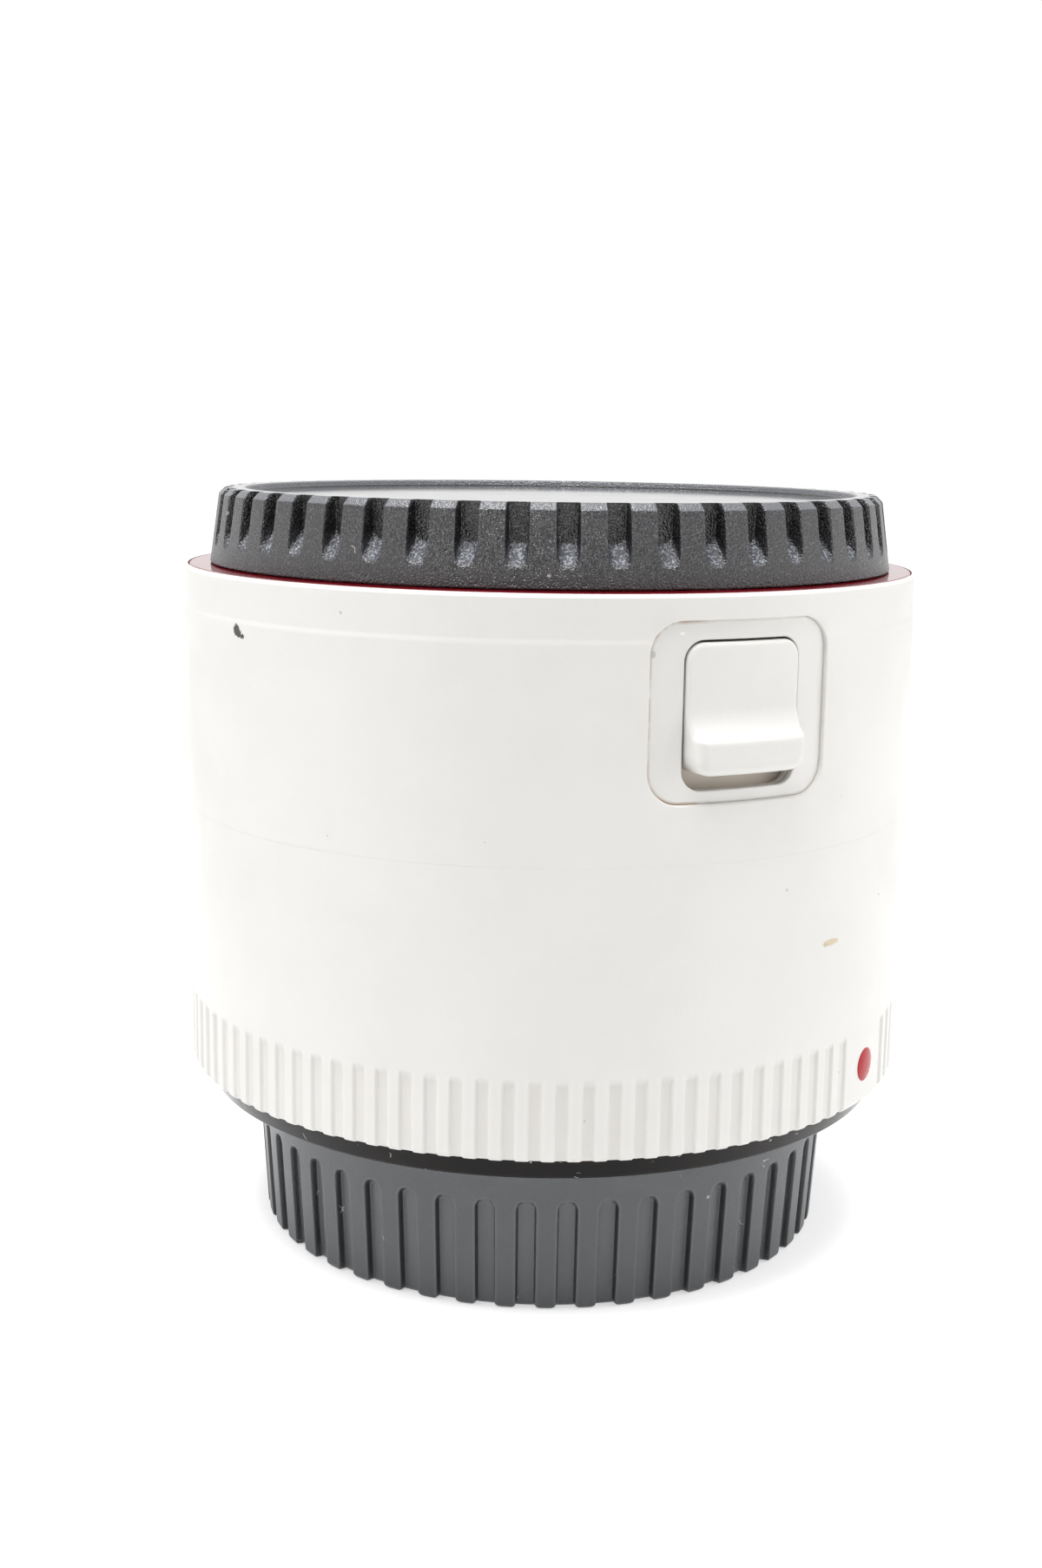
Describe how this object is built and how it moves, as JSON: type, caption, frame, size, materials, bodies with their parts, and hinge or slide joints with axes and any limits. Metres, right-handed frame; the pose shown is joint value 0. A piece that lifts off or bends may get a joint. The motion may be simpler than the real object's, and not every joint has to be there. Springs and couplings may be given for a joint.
{
  "type": "camera teleconverter",
  "caption": "White barrel teleconverter standing on its ribbed rear cap, with a notched front cap, a red ring, a ribbed grip band and a thumb lever that releases the mounted lens.",
  "frame": {"origin": "centre of the rear cap's flat base, on which the converter stands", "axes": "+Z along the optical axis towards the front mount; -Y is the side that the picture shows, +X to its right"},
  "size_m": [0.0718, 0.0718, 0.0734],
  "materials": {
    "rear_cap_plastic": "satin moulded black plastic",
    "front_cap_plastic": "pebbled black plastic",
    "black_plastic": "matt black plastic",
    "gloss_black": "gloss black",
    "white_paint": "satin off-white paint",
    "carriage_paint": "matt primer",
    "red_gloss": "gloss red",
    "chrome": "chromed brass",
    "steel": "bright steel",
    "alloy": "machined",
    "dark_alloy": "black anodised",
    "gold_contact": "gold plated",
    "coated_glass": "coated optical glass",
    "board": "circuit board",
    "flex_film": "amber film"
  },
  "bodies": {
    "rear_cap": {"rear_cap": "rear_cap_plastic"},
    "converter": {"rear_seal_ring": "gloss_black", "rear_mount": "chrome", "rear_mount_screws": "steel", "rear_contact_block": "black_plastic", "rear_contacts": "gold_contact", "rear_baffle": "dark_alloy", "rear_barrel": "white_paint", "index_dot": "red_gloss", "front_barrel": "white_paint", "window_plate": "white_paint", "red_ring": "red_gloss", "chassis": "alloy", "mount_spring": "steel", "front_mount": "chrome", "front_mount_screws": "steel", "front_contact_block": "black_plastic", "release_spring": "steel", "lens_tube": "dark_alloy", "tube_screws": "steel", "lens_1": "coated_glass", "lens_2": "coated_glass", "lens_3": "coated_glass", "lens_4": "coated_glass", "lens_5": "coated_glass", "lens_6": "coated_glass", "lens_7": "coated_glass", "front_retainer": "dark_alloy", "front_spacer": "dark_alloy", "middle_retainer": "dark_alloy", "rear_spacer": "dark_alloy", "rear_retainer": "dark_alloy", "circuit_board": "board", "control_chips": "black_plastic", "flex_strip": "flex_film"},
    "release": {"release_lever": "white_paint", "lever_carriage": "carriage_paint", "lever_screws": "steel", "lock_pin": "chrome"},
    "contacts": {"contact_pins": "gold_contact"},
    "front_cap": {"front_cap": "front_cap_plastic"}
  },
  "joints": [
    {"name": "converter_lift", "type": "slide", "parent": "rear_cap", "child": "converter", "axis": [0, 0, 1], "range_m": [0, 0.02]},
    {"name": "front_cap_lift", "type": "slide", "parent": "converter", "child": "front_cap", "axis": [0, 0, 1], "range_m": [0, 0.02]},
    {"name": "release_slide", "type": "slide", "parent": "converter", "child": "release", "axis": [0, 0, -1], "range_m": [0, 0.0013], "stiffness_N_per_m": 1500, "springref_m": -0.0015, "deforming": ["release_spring"]},
    {"name": "contact_press", "type": "slide", "parent": "converter", "child": "contacts", "axis": [0, 0, -1], "range_m": [0, 0.0008], "stiffness_N_per_m": 400, "springref_m": -0.0005}
  ]
}
